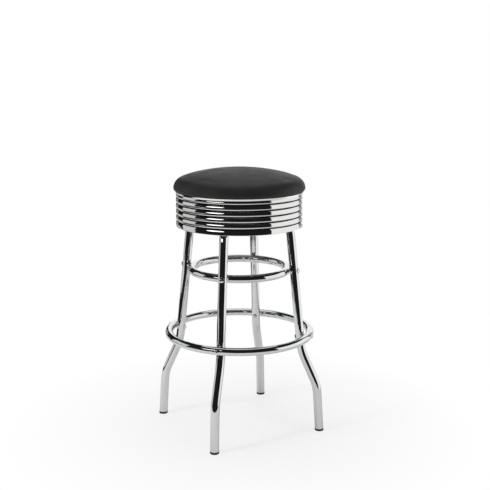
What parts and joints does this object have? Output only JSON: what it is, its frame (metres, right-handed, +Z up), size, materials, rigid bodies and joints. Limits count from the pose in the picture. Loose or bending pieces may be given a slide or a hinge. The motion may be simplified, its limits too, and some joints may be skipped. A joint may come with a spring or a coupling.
{
  "type": "diner counter stool",
  "caption": "Backless bar-height stool: domed black round cushion in a ribbed chrome band on a ball swivel, with bent chrome tube legs, an upper ring and a foot ring.",
  "frame": {"origin": "on the floor, on the swivel's axis, midway between the four feet", "axes": "+Z up along the swivel's axis, +X through the right leg, -Y through the front leg"},
  "size_m": [0.5108, 0.5108, 0.76],
  "materials": {
    "tube_chrome": "mirror chrome plate on steel tube",
    "band_chrome": "mirror chrome plate on ribbed strip",
    "bolt_chrome": "bright chrome plate",
    "zinc_steel": "dull zinc plate",
    "swivel_steel": "zinc-plated pressed steel",
    "ball_steel": "polished bearing steel",
    "cage_nylon": "natural nylon",
    "plywood": "bare birch plywood",
    "foam": "soft open-cell foam",
    "black_vinyl": "smooth satin black vinyl",
    "foot_plastic": "black moulded plastic"
  },
  "bodies": {
    "base": {"leg_front": "tube_chrome", "leg_right": "tube_chrome", "leg_rear": "tube_chrome", "leg_left": "tube_chrome", "foot_tip_front": "foot_plastic", "foot_tip_right": "foot_plastic", "foot_tip_rear": "foot_plastic", "foot_tip_left": "foot_plastic", "upper_ring": "tube_chrome", "foot_ring": "tube_chrome", "upper_ring_bolts": "bolt_chrome", "upper_ring_sleeve_nuts": "bolt_chrome", "foot_ring_bolts": "bolt_chrome", "foot_ring_sleeve_nuts": "bolt_chrome", "leg_top_bolts": "zinc_steel", "leg_top_washers": "zinc_steel", "leg_top_nuts": "zinc_steel", "swivel_lower_plate": "swivel_steel", "king_pin": "zinc_steel"},
    "ball_race": {"ball_cage": "cage_nylon", "swivel_balls": "ball_steel"},
    "seat": {"swivel_upper_plate": "swivel_steel", "seat_bolts": "zinc_steel", "threaded_inserts": "zinc_steel", "seat_board": "plywood", "seat_band": "band_chrome", "band_brackets": "zinc_steel", "band_screws": "zinc_steel", "seat_foam": "foam", "seat_cover": "black_vinyl", "cover_staples": "zinc_steel"}
  },
  "joints": [
    {"name": "seat_swivel", "type": "hinge", "parent": "base", "child": "seat", "pos_m": [0, 0, 0.658], "axis": [0, 0, 1], "continuous": true},
    {"name": "ball_race_turn", "type": "hinge", "parent": "base", "child": "ball_race", "pos_m": [0, 0, 0.658], "axis": [0, 0, 1], "continuous": true}
  ],
  "couplings": [
    {"joint": "ball_race_turn", "follows": "seat_swivel", "ratio": 0.5}
  ]
}
